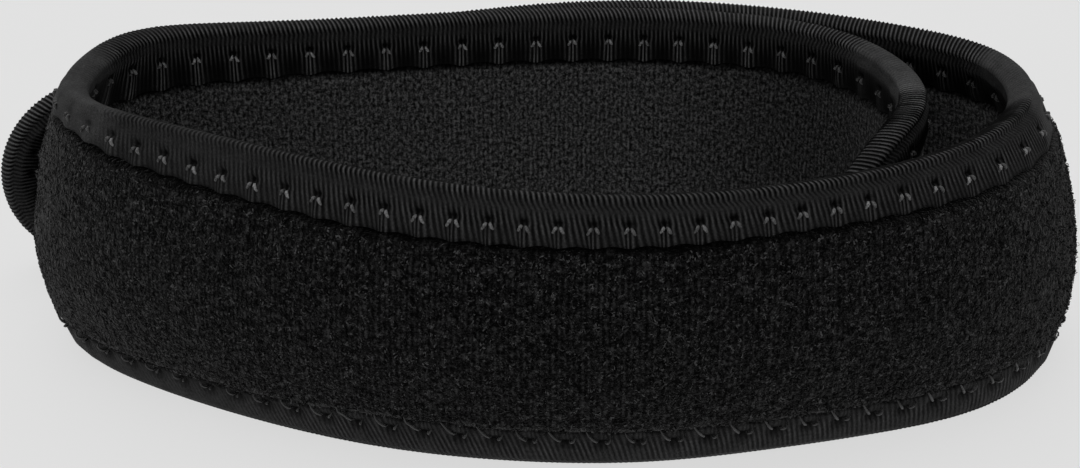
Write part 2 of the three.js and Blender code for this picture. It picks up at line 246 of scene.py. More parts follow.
def spline(values):
    """Close samples of a uniform cubic B-spline through the rows, which are mirrored at both ends."""
    first, last = 2 * values[0] - values[1], 2 * values[-1] - values[-2]
    rows = np.concatenate([[first], values, [last]])
    t = np.arange(ROUTE_SAMPLES) / ROUTE_SAMPLES
    weights = [(1 - t) ** 3, 3 * t**3 - 6 * t**2 + 4, -3 * t**3 + 3 * t**2 + 3 * t + 1, t**3]
    weights = np.stack(weights, 1) / 6
    spans = [weights @ rows[i : i + 4] for i in range(len(values) - 1)]
    return np.concatenate([*spans, [(rows[-3] + 4 * rows[-2] + rows[-1]) / 6]])


def headings(x, y):
    """The unit direction at each sample, from its two neighbours."""
    places = np.arange(len(x))
    before, after = np.maximum(places - 1, 0), np.minimum(places + 1, len(x) - 1)
    dx, dy = x[after] - x[before], y[after] - y[before]
    length = np.hypot(dx, dy)
    return dx / length, dy / length


def sampled_route():
    """The middle line of the band and its sizes, as columns of close samples."""
    at = {
        "x": spline(np.array([PLAN[r.at][0] * LOOP_WIDTH / 2 for r in ROUTE])),
        "y": spline(np.array([(PLAN[r.at][1] - 0.5) * LOOP_DEPTH for r in ROUTE])),
    }
    for name in Row._fields[1:]:
        at[name] = spline(np.array([getattr(r, name) for r in ROUTE], float))
    hx, hy = headings(at["x"], at["y"])
    at["x"] = at["x"] + hy * at["ply"] * PLY_PITCH
    at["y"] = at["y"] - hx * at["ply"] * PLY_PITCH
    at["hx"], at["hy"] = headings(at["x"], at["y"])
    steps = np.hypot(np.diff(at["x"]), np.diff(at["y"]))
    at["along"] = np.concatenate([[0], np.cumsum(steps)])
    turn = np.unwrap(np.arctan2(at["hy"], at["hx"]))
    at["bend"] = np.abs(np.gradient(turn, at["along"]))
    return at


route = sampled_route()
STRAP_LENGTH = route["along"][-1]


def place_along(name):
    """How far along the band the first row of the route at a place is."""
    number = [row.at for row in ROUTE].index(name)
    return route["along"][number * ROUTE_SAMPLES]


# Where the outer lap starts and where the inner lap ends, along the band.
LAP_START = place_along("rightCorner")
LAP_END = place_along("leftHigh") - 8


def column(name, along):
    """A value of the route at places along the band."""
    return np.interp(along, route["along"], route[name])


def band(along, up, out):
    """Points of the band: along it, up from its middle line and out from its middle surface."""
    hx, hy = column("hx", along), column("hy", along)
    length = np.hypot(hx, hy)
    hx, hy = hx / length, hy / length
    share = up / HALF_WIDTH
    lean = column("lean", along) * STRAP_WIDTH
    arch = column("bulge", along) * BULGE
    slope = (-2 * arch * share - lean / 2) / HALF_WIDTH
    square = 1 / np.hypot(1, slope)
    offset = arch * (1 - share**2) - lean * share / 2 + out * square
    rise = column("rise", along) * STRAP_WIDTH + HALF_WIDTH - REST_FLAT
    x = column("x", along) + hy * offset
    y = column("y", along) - hx * offset
    z = np.maximum(rise + up - out * slope * square, FABRIC_FLOOR)
    return np.stack([x, y, z], -1)


def directions(along, up, out):
    """Points of the band with unit directions along the band, up it and out of it."""
    step = 0.05
    here = band(along, up, out)
    onward = unit(band(along + step, up, out) - band(along - step, up, out))
    upward = band(along, up + step, out) - band(along, up - step, out)
    outward = unit(np.cross(onward, upward))
    return here, onward, np.cross(outward, onward), outward


def end_length(along):
    """The length of the rounded end that is nearer to a place along the band."""
    return np.where(along < STRAP_LENGTH / 2, INNER_END_LENGTH, TAB_END_LENGTH)


def into_end(along):
    """How far a place is past the straight part of the band, into one of its rounded ends."""
    return np.maximum(end_length(along) - np.minimum(along, STRAP_LENGTH - along), 0)


def half_height(along, inset):
    """Half the height of the band at a place along it, inside an inset from its outline."""
    share = np.minimum(into_end(along) / (end_length(along) - inset), 1)
    return (HALF_WIDTH * column("width", along) - inset) * np.sqrt(1 - share**2)


def margin(along, up):
    """How far inside the outline a place on the band is."""
    into = into_end(along)
    reach = HALF_WIDTH * column("width", along)
    up = np.maximum(np.abs(up), 0.01)
    share = np.hypot(into / end_length(along), up / reach)
    return np.hypot(into, up) * (1 / share - 1)


def ripple(along, up, size, seed):
    """Soft irregular waves of about one size, from -1 to 1."""
    chosen = np.random.default_rng(seed)
    total = 0
    for turn in np.linspace(0, math.pi, 7, endpoint=False) + chosen.uniform(0, 0.4, 7):
        phase = chosen.uniform(0, 2 * math.pi)
        stretch = chosen.uniform(0.75, 1.35) * size
        onward = along * math.cos(turn) + up * math.sin(turn)
        total = total + np.sin(onward * 2 * math.pi / stretch + phase)
    return total / 4


def tape_column(name, along):
    """A value of the upper tape at places along the band."""
    rows = np.array([t.row for t in TAPE]) * ROUTE_SAMPLES
    return np.interp(along, route["along"][rows], [getattr(t, name) for t in TAPE])


def cover(along, up, inside):
    """How far the tape reaches over the outer or the inner face."""
    reach = np.where(inside, tape_column("inner", along), tape_column("outer", along))
    narrowed = 1.1 * smooth((LOWER_FULL - along) / 25)
    lower = LOWER_COVER - narrowed + 0.2 * ripple(along, 0, size=7, seed=43)
    return np.where(up > 0, reach, lower)


def half_thickness(along, up, inside=False):
    """Half the thickness of padding and lining together, squeezed under the tape and full beside it."""
    full = np.maximum(column("pad", along) * PAD_THICKNESS / 2, EDGE_HALF)
    share = smooth((margin(along, up) - cover(along, up, inside) + 0.2) / SHOULDER)
    return EDGE_HALF + (full - EDGE_HALF) * share


def bare_edge(along, up):
    """How far in from the tape the loop fabric stays bare of fibres, and in shade."""
    uneven = ripple(along, up * 0.3, size=5, seed=42)
    return np.where(up > 0, 0.9 + 0.28 * uneven, 0.4 * uneven - 0.3)


def fabric_out(along, up):
    """How far out the face of the loop fabric lies, with soft waves and puckers beside the tape."""
    inside = margin(along, up) - cover(along, up, False)
    clear = smooth(inside / 1.5)
    lap = smooth((along - LAP_END) / 12)
    uneven = 0.16 * ripple(along, up, size=17, seed=3) + 0.08 * ripple(along, up, size=3.2, seed=4)
    puckered = 0.12 * bell(inside - 1.0, 1.2)
    pressed = 0.7 * bell(along - LEFT_BEND, 15) * smooth(up / 8 + 0.5)
    return half_thickness(along, up) + clear * lap * (uneven + puckered - pressed)


def lining_out(along, up):
    """How far in the face of the lining lies, as a negative distance out."""
    clear = smooth((margin(along, up) - cover(along, up, True)) / 1.5)
    free = 1 - smooth((along - LAP_START) / 10)
    uneven = 0.12 * ripple(along, up, size=14, seed=6) + 0.05 * ripple(along, up, size=2.6, seed=7)
    return -half_thickness(along, up, True) + clear * free * uneven


def frame_shift():
    """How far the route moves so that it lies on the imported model."""
    places = np.linspace(LAYER_INSET, STRAP_LENGTH - LAYER_INSET, 2400)
    along, share = np.meshgrid(places, np.linspace(-1, 1, 9))
    up = share * half_height(along, LAYER_INSET)
    plain = band(along, up, np.maximum(column("pad", along) * PAD_THICKNESS / 2, EDGE_HALF))
    low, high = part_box("padded_band")
    middle = (plain.min((0, 1)) + plain.max((0, 1))) / 2
    packed = np.array((low + high) / 2) / MM
    return np.array([packed[0] - middle[0], packed[1] - middle[1], 0])


SHIFT = frame_shift()


def add_object(name, data):
    """A new object in the scene."""
    made = bpy.data.objects.new(name, data)
    bpy.context.scene.collection.objects.link(made)
    return made


def mesh_object(name, points, faces, weave=None):
    """An object of points in millimetres and faces that all have as many corners. weave holds each
    point's place in the cloth."""
    mesh = bpy.data.meshes.new(name)
    mesh.vertices.add(len(points))
    mesh.vertices.foreach_set("co", ((points + SHIFT) * MM).astype(np.float32).ravel())
    mesh.loops.add(faces.size)
    mesh.loops.foreach_set("vertex_index", faces.astype(np.int32).ravel())
    mesh.polygons.add(len(faces))
    starts = np.arange(0, faces.size, faces.shape[1], dtype=np.int32)
    mesh.polygons.foreach_set("loop_start", starts)
    mesh.update(calc_edges=True)
    if weave is not None:
        layer = mesh.uv_layers.new(name="weave")
        layer.uv.foreach_set("vector", weave[faces.ravel()].astype(np.float32).ravel())
    mesh.shade_smooth()
    return add_object(name, mesh)


def add_values(made, name, values):
    """Gives each point of a mesh a number that its material reads."""
    layer = made.data.attributes.new(name, "FLOAT", "POINT")
    layer.data.foreach_set("value", values.astype(np.float32).ravel())


def grid_faces(rows, columns, round_rows=False, round_columns=False):
    """Quads between the points of a grid, which may close on itself either way."""
    i = np.arange(rows if round_rows else rows - 1)[:, None]
    j = np.arange(columns if round_columns else columns - 1)[None, :]
    next_i, next_j = (i + 1) % rows, (j + 1) % columns
    near, far = i * columns, next_i * columns
    return np.stack([near + j, far + j, far + next_j, near + next_j], -1).reshape(-1, 4)


def finish_piece(piece, paint, slot, *nodes):
    """Gives a piece its material and its body, and lets it stand for its CAD nodes. The slot is not used.
    """
    piece.data.materials.append(paint)
    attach(piece, "root")
    if nodes:
        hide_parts(*nodes)
    return piece


def layer_object(name, face, back):
    """A closed layer of the band between its shown face and its back, each a function of the place."""
    lining = face is lining_out
    count = round((STRAP_LENGTH - 2 * LAYER_INSET) / CLOTH_STEP)
    along = np.linspace(LAYER_INSET, STRAP_LENGTH - LAYER_INSET, count)
    across = round((STRAP_WIDTH - 2 * LAYER_INSET) / CLOTH_STEP)
    shares = np.concatenate([np.linspace(-1, 1, across), np.linspace(1, -1, BACK_COLUMNS)])
    shown = np.arange(len(shares)) < across
    places = np.repeat(along[:, None], len(shares), 1)
    up = shares * half_height(places, LAYER_INSET)
    out = np.where(shown, face(places, up), back(places, up))
    points = band(places, up, out).reshape(-1, 3)
    faces = grid_faces(count, len(shares), round_columns=True)
    if lining:
        faces = faces[:, ::-1]
    made = mesh_object(name, points, faces, np.stack([places, up], -1).reshape(-1, 2) * MM)
    # Painted shade on the loop fabric and the lining along the tape's edge
    inside = margin(places, up) - cover(places, up, lining)
    start = 0.45 if lining else bare_edge(places, up) - 0.25
    dark = 0.93 * (1 - smooth((inside - start) / 0.8)) * np.where(up > 0, 1, 0.4)
    # Painted shade on the lining inside the curled end, and painted light on it at the right bend
    folded = 0.45 * smooth((CURL_LINING_SHADE - places) / 40) - 0.35 * bell(places - RIGHT_LINING_LIGHT, 20)
    add_values(made, "shade", (1 - dark) * (1 - folded * lining))
    return made


def dense_outline():
    """Close places on the outline, with the direction inwards from each and the length up to it. It runs
    along the lower edge, round the tab, back along the upper edge and round the inner end."""
    step = 0.12
    straight = np.arange(INNER_END_LENGTH, STRAP_LENGTH - TAB_END_LENGTH, step)
    turn = np.linspace(-math.pi / 2, math.pi / 2, 400)[1:-1]

    def end(middle, length, sign):
        along = middle + sign * length * np.cos(turn)
        up = sign * HALF_WIDTH * column("width", along) * np.sin(turn)
        inwards = np.stack([-sign * np.cos(turn) * HALF_WIDTH, -sign * np.sin(turn) * length], -1)
        return along, up, unit(inwards)

    def side(sign):
        along = straight[::-1] if sign > 0 else straight
        inwards = np.stack([np.zeros_like(along), np.full_like(along, -sign)], -1)
        return along, sign * HALF_WIDTH * column("width", along), inwards

    tab = end(STRAP_LENGTH - TAB_END_LENGTH, TAB_END_LENGTH, 1)
    parts = [side(-1), tab, side(1), end(INNER_END_LENGTH, INNER_END_LENGTH, -1)]
    along, up, inwards = (np.concatenate([p[i] for p in parts]) for i in range(3))
    points = band(along, up, np.zeros_like(along))
    steps = np.linalg.norm(np.diff(points, axis=0, append=points[:1]), axis=1)
    marks = np.cumsum([0] + [len(p[0]) for p in parts])
    length = np.concatenate([[0], np.cumsum(steps)])
    return {
        "along": along,
        "up": up,
        "in_x": inwards[:, 0],
        "in_y": inwards[:, 1],
        "length": length[:-1],
        "total": length[-1],
        "marks": length[marks[:-1]],
    }


outline = dense_outline()


def on_outline(name, length):
    """A value of the outline at lengths along it."""
    total = outline["total"]
    return np.interp(length % total, outline["length"], outline[name], period=total)


def length_at(along, edge):
    """The length along the outline of a place on the upper edge, 1, or the lower edge, -1."""
    marks = outline["marks"]
    low, high = (marks[2], marks[3]) if edge > 0 else (0, marks[1])
    inside = (outline["length"] >= low) & (outline["length"] < high)
    order = np.argsort(outline["along"][inside])
    return np.interp(along, outline["along"][inside][order], outline["length"][inside][order])


def stitch_lengths():
    """Where the stitches are, as lengths along the outline."""
    start, end = INNER_END_LENGTH, STRAP_LENGTH - TAB_END_LENGTH
    step = 0.1
    along = np.arange(start, end, step)
    number = np.cumsum(step / tape_column("pitch", along))
    number = number - np.interp(UPPER_ANCHOR, along, number)
    whole = np.arange(math.ceil(number[0] + 0.5), math.floor(number[-1] - 0.5) + 1)
    found = list(length_at(np.interp(whole, number, along), 1))
    first = math.ceil((start - LOWER_ANCHOR) / LOWER_PITCH + 0.5)
    last = math.floor((end - LOWER_ANCHOR) / LOWER_PITCH - 0.5)
    found.extend(length_at(LOWER_ANCHOR + LOWER_PITCH * np.arange(first, last + 1), -1))
    marks = [*outline["marks"], outline["total"]]
    for low, high in ((1, 2), (3, 4)):
        count = round((marks[high] - marks[low]) / LOWER_PITCH)
        found.extend(marks[low] + (np.arange(count) + 0.5) * (marks[high] - marks[low]) / count)
    return np.sort(np.array(found))


stitches = stitch_lengths()


def from_stitch(length):
    """The signed distance from the nearest stitch."""
    total = outline["total"]
    ring = np.concatenate([[stitches[-1] - total], stitches, [stitches[0] + total]])
    after = np.clip(np.searchsorted(ring, length), 1, len(ring) - 1)
    back, onward = length - ring[after - 1], length - ring[after]
    return np.where(np.abs(back) < np.abs(onward), back, onward)


def hole_margin(length):
    """How far in from the outline the stitches lie."""
    along, up = on_outline("along", length), on_outline("up", length)
    upper = smooth(0.5 + up / HALF_WIDTH)
    return LOWER_HOLE + (tape_column("hole", along) - LOWER_HOLE) * upper


# The section of the folded tape: a rounded ridge on the outline, a crease under it and a flat face,
# whose shares are 0 at the ridge, HOLE_SHARE at the stitches and 1 at the tape's edge.
RIDGE_DEPTH = 1.9
RIDGE_SHAPE = 3  # 2 is an ellipse, more is squarer
FACE_SHARES = [1.0, 0.9, 0.78, 0.66, 0.57, 0.5, 0.43, 0.34, 0.22, 0.1]
HOLE_SHARE = 0.5
RIDGE_ANGLES = [76, 62, 46, 25, 0]
CREASE_ANGLE = 74
CREASE_DEPTH = 0.5
CREASE_MARGIN = 1.95  # how far in from the outline the crease lies
TURNED_IN = 0.95  # how far the tape's edge turns in


def tape_section():
    """For each point across the tape: its share of the face, its margin on the ridge, how far out it is
    and its rough place across the tape."""
    side = [(1.0, RIDGE_DEPTH, BINDING_HALF - TURNED_IN)]
    side.extend((share, RIDGE_DEPTH, BINDING_HALF) for share in FACE_SHARES)
    for angle in RIDGE_ANGLES:
        cos, sin = math.cos(math.radians(angle)), math.sin(math.radians(angle))
        crease = CREASE_DEPTH * float(bell(angle - CREASE_ANGLE, 9))
        inwards = RIDGE_DEPTH * (1 - cos ** (2 / RIDGE_SHAPE)) + crease * 0.5
        side.append((0.0, inwards, BINDING_HALF * sin ** (2 / RIDGE_SHAPE) - crease))
    points = np.array(side + [(share, inwards, -out) for share, inwards, out in side[-2::-1]])
    typical = points[:, 1] + points[:, 0] * (LOWER_COVER - RIDGE_DEPTH)
    steps = np.hypot(np.diff(typical), np.diff(points[:, 2]))
    across = np.concatenate([[0], np.cumsum(steps)])
    return points[:, 0], points[:, 1], points[:, 2], across[-1] / 2 - across


def slant(down, outer):
    """How far the ribs run along the tape down to a depth below the crease, on either face."""
    return np.where(outer, 0.2 * down + 0.012 * down**2, -0.03 * down)


def rubbed_smooth_and_sheen(along):
    """1 where the tape is rubbed smooth at a tight bend and painted with a sheen."""
    total = 0
    for stretch in SHEEN_AND_RUBBED_BENDS:
        total = total + smooth((stretch.half - np.abs(along - stretch.along)) / 7)
    return np.minimum(total, 1)


def tape_surface(length, share, ridge, out, across):
    """The tape's surface, drawn in at the stitches, as points of the band, with the strength of its ribs
    and its shade: painted shade in the holes, hollows, crease and curl, and painted light and sheen on
    the rubbed bends, claws and ridges."""
    outer = across > 0
    inner, outside = np.where(outer, 0.0, 1.0), np.where(outer, 1.0, 0.0)
    uneven = 0.1 * ripple(length, across * 0.5, size=9, seed=31)
    length = length - RIB_TILT * np.clip(across, -4, 4) + uneven
    ring = length % outline["total"]
    reach = cover(on_outline("along", ring), on_outline("up", ring), ~outer)
    hole = hole_margin(ring)
    above = np.minimum(share / HOLE_SHARE, 1) * (hole - RIDGE_DEPTH)
    below = np.maximum(share - HOLE_SHARE, 0) / (1 - HOLE_SHARE)
    inwards = ridge + above + below * (reach - hole)
    upper = smooth(0.5 + on_outline("up", ring) / HALF_WIDTH)
    start = length - slant(above, outer)
    apart = from_stitch(start % outline["total"])
    claw = bell(apart, CLAW_WIDTH)
    low = smooth((inwards - hole + 0.3) / 0.9)
    run = slant(above + below * (reach - hole), outer) - slant(above, outer)
    place = start - run * (1 - 0.9 * claw) - 0.3 * claw * low * (1 - 0.4 * below) * apart
    ring = place % outline["total"]
    beside = from_stitch(ring)
    face = smooth((inwards - RIDGE_DEPTH + 0.1) / 0.7)
    wide = 0.72 + 0.55 * (1 - upper) + 0.06 * upper * inner
    high = 0.45 + 0.4 * (1 - upper) + 0.1 * upper * inner
    pit = bell(np.hypot(beside / wide, (inwards - hole + 0.25 * upper) / high), 1)
    flat = bell(on_outline("along", ring) - LEFT_CORNER, 14) * upper * outside
    pit = pit * (1 - 0.85 * flat)
    tuck = np.sin(np.pi * np.clip(below * 0.8 + 0.2, 0, 1)) ** 0.7
    fan = (0.12 + 0.28 * inner) * bell(apart, 1.25) * tuck
    sunk = (0.12 + 0.38 * inner) * (1 - bell(apart, 1.6)) * below
    relief = face * (fan - sunk) - 0.8 * pit
    inwards = inwards + 0.3 * (bell(beside, 1.3) - 0.4) * below
    along = on_outline("along", ring) + on_outline("in_x", ring) * inwards
    up = on_outline("up", ring) + on_outline("in_y", ring) * inwards
    crease = bell(inwards - CREASE_MARGIN, 0.8)
    # worn marks the rubbed bends: their ribs are flatter and they get a painted sheen
    worn = rubbed_smooth_and_sheen(along) * smooth(up / 5)
    lap = smooth((along - LAP_START + 18) / 10)
    left = smooth((LEFT_END - along) / 25)
    deep = np.where(outer, 0.4 * below, 0.92 * smooth((share - 0.2) / 0.65))
    strength = math.prod((
        1 - 0.92 * crease,
        1 - 0.3 * outside * face,
        1 - 0.9 * worn,
        1 - 0.6 * below * (1 - claw),  # the ribs fade between two stitches
        0.78 + 0.22 * ripple(length, across * 1.5, size=6, seed=33),
        1 - (1 - upper) * (0.3 + 0.5 * left),  # and along the lower edge, most at the left
        1 - 0.5 * upper * outside * left * smooth((along - LEFT_START) / 10),
        1 - 0.6 * (1 - upper) * claw,
        1 - 0.15 * smooth((along - LEFT_CORNER) / 15) * (1 - lap),
    ))
    shade = math.prod((
        1 - 0.97 * pit,  # painted shade in the stitches' holes
        1 - deep * (1 - bell(apart, 1.45)),  # painted shade in the hollows between two stitches
        # painted shade on the tape's inner face
        1 - 0.2 * inner * face,
        # painted shade in the crease
        1 - 0.1 * crease,
        1 + 0.95 * worn * (1 - inner * smooth(share / 0.3)),  # painted sheen: the rubbed parts at the bends are lighter
        1 - 0.6 * inner * lap * upper * smooth(share / 0.4),  # shade inside the lap
        # painted light on the tab's ridge
        1 + 0.4 * smooth((along - TAB_PAINTED_LIGHT) / 10) * (1 - smooth(share / 0.3)),
        # painted light on the claws, where the tape bulges out at a stitch
        1 + 0.6 * inner * claw * low,
        # painted shade on the curl's outer face in its pocket
        1 - 0.8 * outside * smooth((CURL_POCKET_SHADE - along) / 12) * smooth((share - 0.2) / 0.35),
        # painted light on the outer face of the lower tape
        1 + 0.3 * (1 - upper) * outside,
        # painted shade on the tape inside the curl
        1 - 0.6 * inner * smooth((CURL_TAPE_SHADE - along) / 15) * smooth(share / 0.4),
        # painted light on the curled end's ridge
        1 + 0.9 * bell(along - CURL_PAINTED_LIGHT, 6) * upper * (1 - smooth(share / 0.5)),
    ))
    return band(along, up, out + np.sign(out) * relief), strength, shade


def rib_relief(phase, amount):
    """The height of the ribs at quarter phases: round tops and narrow valleys."""
    profile = np.array([1.0, 0.3, -1.0, 0.3])
    return RIB_HEIGHT / 2 * amount * profile[phase % 4]


def tape_object(name, first, last, ribs):
    """A stretch of the folded tape between two ribs, as one open sheet with its edges turned in. The ribs
    on its faces lie between those of the ridge."""
    share, ridge, out, across = tape_section()
    number = np.arange(first * 4, last * 4 + 1)
    length = (number * outline["total"] / ribs / 4)[:, None] + np.zeros(len(share))
    points, strength, shade = tape_surface(length, share, ridge, out, across)
    ahead, over = np.gradient(points, axis=0), np.gradient(points, axis=1)
    normal = unit(np.cross(ahead, over))
    bolder = np.random.default_rng(SEED).uniform(0.7, 1.25, ribs + 1)[(number // 4) % ribs][:, None]
    edge = smooth((1 - share) * 6)
    half = np.where(share > 0, 2, 0)
    height = rib_relief(number[:, None] + half, bolder * strength * edge)
    points = points + normal * height[..., None]
    points[..., 2] = np.maximum(points[..., 2], TAPE_FLOOR)
    weave = np.stack([(number[:, None] + half) / 4, across + 0 * length], -1)
    faces = grid_faces(len(number), len(share))
    made = mesh_object(name, points.reshape(-1, 3), faces, weave.reshape(-1, 2))
    add_values(made, "strength", strength)
    add_values(made, "shade", shade)
    return made


def repeated(faces, times, count):
    """The faces of a thread of so many points, again for each of the threads."""
    return (faces[None] + np.arange(times)[:, None, None] * count).reshape(-1, 4)


def tubes(paths, radius, sides=6):
    """Points and faces of round threads. paths holds each thread's points and radius its radii."""
    ahead = unit(np.gradient(paths, axis=1))
    guide = np.where(np.abs(ahead[..., 2:]) < 0.8, [0.0, 0.0, 1.0], [1.0, 0.0, 0.0])
    right = unit(np.cross(ahead, guide))
    over = np.cross(right, ahead)
    angle = np.arange(sides) * 2 * math.pi / sides
    ring = right[:, :, None] * np.cos(angle)[:, None] + over[:, :, None] * np.sin(angle)[:, None]
    points = paths[:, :, None] + ring * radius[:, :, None, None]
    steps = paths.shape[1]
    faces = grid_faces(steps, sides, round_columns=True)
    return points.reshape(-1, 3), repeated(faces, len(paths), steps * sides)


def ribbons(paths, width, sideways):
    """Points and faces of flat fibres. paths holds each one's points and sideways the way it is wide."""
    half = (sideways * width[:, None] / 2)[:, None, None, :]
    points = paths[:, :, None] + half * np.array([-1.0, 1.0])[:, None]
    steps = paths.shape[1]
    return points.reshape(-1, 3), repeated(grid_faces(steps, 2), len(paths), steps * 2)


# A stitch's threads from its hole: along the tape, inwards from the outline, and out of the face. On the
# lower edge one arm is long and one is short.
UPPER_ARM = np.array([
    (0.26, 0.3, -0.5),
    (0.34, 0.4, 0.1),
    (0.46, 0.6, 0.28),
    (0.6, 0.82, 0.26),
    (0.74, 1.02, 0.05),
    (0.82, 1.16, -0.4),
])
UPPER_ARMS = (UPPER_ARM, UPPER_ARM * (-1, 1, 1))
LONG_ARM = np.array([
    (-0.5, 0.45, -0.5),
    (-0.7, 0.75, 0.1),
    (-1.05, 1.25, 0.35),
    (-1.45, 1.8, 0.5),
    (-1.9, 2.5, 0.5),
    (-2.25, 3.0, 0.1),
])
SHORT_ARM = np.array([
    (0.55, 0.3, -0.5),
    (0.65, 0.45, 0.1),
    (0.85, 0.7, 0.33),
    (1.0, 0.95, 0.45),
    (1.25, 1.3, 0.35),
    (1.4, 1.55, -0.1),
])
ARM_RADII = np.array([0.6, 1.1, 1.3, 1.15, 0.9, 0.5])  # along an arm, as shares of the thread's


def stitch_arm(length, arm, face, chosen):
    """One arm of a stitch on the outer face, 1, or the inner face, -1: its path, radii and shade."""
    upper = on_outline("in_y", length) < 0
    here = on_outline("along", length)
    worn = smooth((LEFT_END - here) / 25) * (face > 0) * (not upper)
    size = chosen.uniform(0.8, 1.15) * (1 - 0.45 * worn)
    skewed = length + arm[:, 0] * size + chosen.normal(0, 0.05)
    inwards = hole_margin(length) + arm[:, 1] * size
    height = arm[:, 2] * chosen.uniform(0.85, 1.2)
    along = on_outline("along", skewed) + on_outline("in_x", length) * inwards
    up = on_outline("up", skewed) + on_outline("in_y", length) * inwards
    over = smooth((inwards - cover(along, up, face < 0)) / 0.6)
    fabric = fabric_out(along, up) if face > 0 else -lining_out(along, up)
    level = BINDING_HALF * (1 - over) + np.maximum(fabric, BINDING_HALF) * over
    path = band(along, up, face * (level + height))
    # painted light: on the outer face one arm of a stitch is lighter than the other, the more so farther
    # from UPPER_ANCHOR
    away = np.clip((UPPER_ANCHOR - here) / 70, -1, 1) * (face > 0) * np.sign(arm[-1, 0])
    bends = OUTER_HIDDEN if face > 0 else INNER_HIDDEN
    hidden = min(1, sum(bell(here - bend.along, bend.half) for bend in bends))
    light = chosen.uniform(0.35, 1.0) * (1 - 0.45 * away) * (1 - 0.95 * hidden)
    light = light * (0.72 if face > 0 else 1)
    if upper:
        return path, ARM_RADII * THREAD_RADIUS, light
    return path, ARM_RADII * LOWER_THREAD_RADIUS, chosen.uniform(0.035, 0.09) * (1 - 0.6 * worn)


def stitch_object():
    """Every stitch's two arms, on both faces of the tape."""
    chosen = np.random.default_rng(SEED + 1)
    made = []
    for face in (1, -1):
        for length in stitches:
            arms = UPPER_ARMS if on_outline("in_y", length) < 0 else (LONG_ARM, SHORT_ARM)
            made.extend(stitch_arm(length, arm, face, chosen) for arm in arms)
    paths, radii, shades = zip(*made)
    points, faces = tubes(np.array(paths), np.array(radii))
    stitching = mesh_object("stitching", points, faces)
    add_values(stitching, "shade", np.repeat(shades, len(points) // len(shades)))
    return stitching


def pile_object(name, start, end, count, seed):
    """Short crooked fibres of the brushed fabric, standing on its face between two places."""
    chosen = np.random.default_rng(seed)
    along = chosen.uniform(start, end, count)
    up = chosen.uniform(-1, 1, count) * half_height(along, PILE_INSET)
    inside = margin(along, up) > cover(along, up, False) + bare_edge(along, up)
    along, up = along[inside], up[inside]
    here, onward, upward, outward = directions(along, up, fabric_out(along, up))
    count = len(along)
    turn = chosen.uniform(0, 2 * math.pi, count)[:, None]
    aim = onward * np.cos(turn) + upward * np.sin(turn)
    sideways = np.cross(outward, aim)
    rise = outward + sideways * chosen.uniform(-0.8, 0.8, count)[:, None]
    width = chosen.gamma(6, 0.09, count)[:, None]
    flattened = 0.45 + 0.55 * smooth((along - LEFT_PILE) / 30)
    height = chosen.gamma(4, 0.05, count)[:, None] * flattened[:, None]
    swing = chosen.normal(0, 0.25, count)[:, None]
    steps = [(-0.5, -0.2), (-0.3, 0.8), (0.25, 1.0), (0.5, -0.1)]
    path = [here + aim * (x * width + swing * z * height) + rise * z * height for x, z in steps]
    across = chosen.uniform(0.12, 0.24, count)
    points, faces = ribbons(np.stack(path, 1), across, sideways + outward * 0.4)
    return mesh_object(name, points, faces)


# The hook patch: a thin backing with rows of small hooks, each by its bend along the band and out.
HOOK_BACKING = 0.4
HOOK_ROW_PITCH = 1.5
HOOK_COLUMN_PITCH = 1.1
HOOK_COLUMNS = np.arange(-8, 9) * HOOK_COLUMN_PITCH
HOOK_BEND = np.array([(0.0, 0.0), (0.02, 0.35), (0.1, 0.62), (0.28, 0.76), (0.45, 0.66), (0.5, 0.5)])
HOOK_RADII = np.array([0.13, 0.11, 0.1, 0.1, 0.09, 0.06])


def hook_object():
    """The hook patch: a woven strip with rows of small plastic hooks, on the lining of the tab."""
    steps, across = 120, 30
    inset = TAPE_COVER + HOOK_EDGE_MARGIN
    end = STRAP_LENGTH - HOOK_END_MARGIN
    along = np.linspace(end - HOOK_LENGTH, end, steps)
    shares = np.concatenate([np.linspace(-1, 1, across), np.linspace(1, -1, across)])
    away = np.repeat([GAP, GAP + HOOK_BACKING], across)
    places = np.repeat(along[:, None], 2 * across, 1)
    up = shares * half_height(places, inset)
    base = band(places, up, -LAP_HALF - away + 0 * places)
    base_faces = grid_faces(steps, 2 * across, round_columns=True)
    rows = np.arange(end - HOOK_LENGTH + 1, end - 1, HOOK_ROW_PITCH)
    hook_along, hook_up = (a.ravel() for a in np.meshgrid(rows, HOOK_COLUMNS))
    inside = np.abs(hook_up) < half_height(hook_along, inset) - 0.5
    hook_along, hook_up = hook_along[inside], hook_up[inside]
    bent = hook_along[:, None] + HOOK_BEND[:, 0]
    out = -LAP_HALF - GAP - 0.38 - HOOK_BEND[:, 1] + 0 * bent
    paths = band(bent, hook_up[:, None] + 0 * bent, out)
    points, faces = tubes(paths, np.broadcast_to(HOOK_RADII, paths.shape[:2]), 5)
    whole = np.concatenate([base.reshape(-1, 3), points])
    faces = np.concatenate([base_faces, faces + steps * 2 * across])
    return mesh_object("hook_strip", whole, faces)


